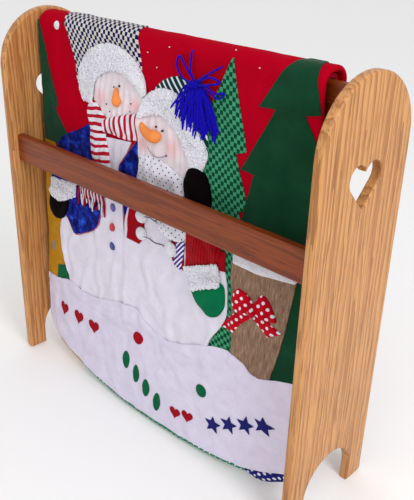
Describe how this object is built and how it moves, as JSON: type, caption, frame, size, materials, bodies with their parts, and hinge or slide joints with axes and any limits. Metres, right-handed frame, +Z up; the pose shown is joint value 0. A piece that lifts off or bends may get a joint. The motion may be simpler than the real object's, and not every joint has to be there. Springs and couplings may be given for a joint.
{
  "type": "quilt on a rack",
  "caption": "Free-standing oak quilt rack with round-headed panel ends and heart cut-outs, carrying a padded snowman applique quilt folded over its top rail.",
  "frame": {"origin": "on the floor, midway between the end panels and centred front to back", "axes": "+X along the rails towards the right end panel, -Y towards the quilt's decorated front, +Z up"},
  "size_m": [0.841, 0.236, 0.815],
  "materials": {
    "oak": "satin clear varnish",
    "dowel_beech": "plain",
    "quilt_cotton": "quilted cotton, crimson face",
    "quilt_lining": "quilted cotton, crimson back",
    "white_cotton": "plain weave",
    "white_fleece": "long-pile fleece",
    "green_cotton": "sateen",
    "check_cotton": "green check weave",
    "houndstooth": "navy and white check weave",
    "striped_cotton": "dark green and white stripe",
    "gold_cotton": "plain weave",
    "navy_cotton": "dotted plain weave",
    "blue_velvet": "crushed velvet",
    "red_corduroy": "ribbed corduroy",
    "black_felt": "felt",
    "orange_cotton": "stuffed plain weave",
    "red_stripe": "red and white stripe",
    "dotted_white": "white with small navy dots",
    "red_dotted": "red with white dots",
    "burlap": "coarse burlap",
    "blue_yarn": "wool yarn",
    "wool_yarn": "red and white wool yarn",
    "button_plastic": "gloss"
  },
  "bodies": {
    "rack": {"left_end_panel": "oak", "right_end_panel": "oak", "top_rail": "oak", "top_rail_dowels": "dowel_beech", "front_rail": "oak", "front_rail_dowels": "dowel_beech", "back_rail": "oak", "back_rail_dowels": "dowel_beech"},
    "quilt": {"border_gold": "gold_cotton", "border_green": "green_cotton", "border_navy": "navy_cotton", "burlap_parcel": "burlap", "checked_tree": "check_cotton", "coat_buttons": "button_plastic", "gold_patch": "gold_cotton", "gold_patch_button": "button_plastic", "green_mitten": "green_cotton", "green_patch": "green_cotton", "houndstooth_hat": "houndstooth", "jacket_left": "blue_velvet", "jacket_right": "blue_velvet", "kerchief": "dotted_white", "left_tree": "green_cotton", "parcel_bow": "red_dotted", "parcel_cap": "white_fleece", "plain_tree": "green_cotton", "quilt_outer_layer": "quilt_cotton", "quilt_under_layer": "quilt_lining", "red_sleeve": "red_corduroy", "red_vest": "red_corduroy", "round_hat_brim": "white_fleece", "round_snowman_beads": "black_felt", "round_snowman_body": "white_cotton", "round_snowman_face": "white_cotton", "round_snowman_mitten": "black_felt", "round_snowman_nose": "orange_cotton", "scarf_band": "red_stripe", "scarf_end": "red_stripe", "scarf_fringe": "wool_yarn", "sky_dot": "burlap", "sleeve_cuff": "white_fleece", "small_motifs_green": "green_cotton", "small_motifs_navy": "navy_cotton", "small_motifs_red": "red_corduroy", "snow_dots": "red_corduroy", "snow_ground": "white_cotton", "striped_hat": "striped_cotton", "tall_hat_brim": "white_fleece", "tall_snowman_beads": "black_felt", "tall_snowman_body": "white_cotton", "tall_snowman_cuff": "white_fleece", "tall_snowman_face": "white_cotton", "tall_snowman_mitten": "black_felt", "tall_snowman_nose": "orange_cotton", "vest_cords": "black_felt", "vest_pompoms": "white_fleece", "yarn_tassel": "blue_yarn"}
  },
  "joints": [
    {"name": "quilt_lift", "type": "slide", "parent": "rack", "child": "quilt", "axis": [0, 0.032, 0.9995], "range_m": [0, 0.83]}
  ]
}
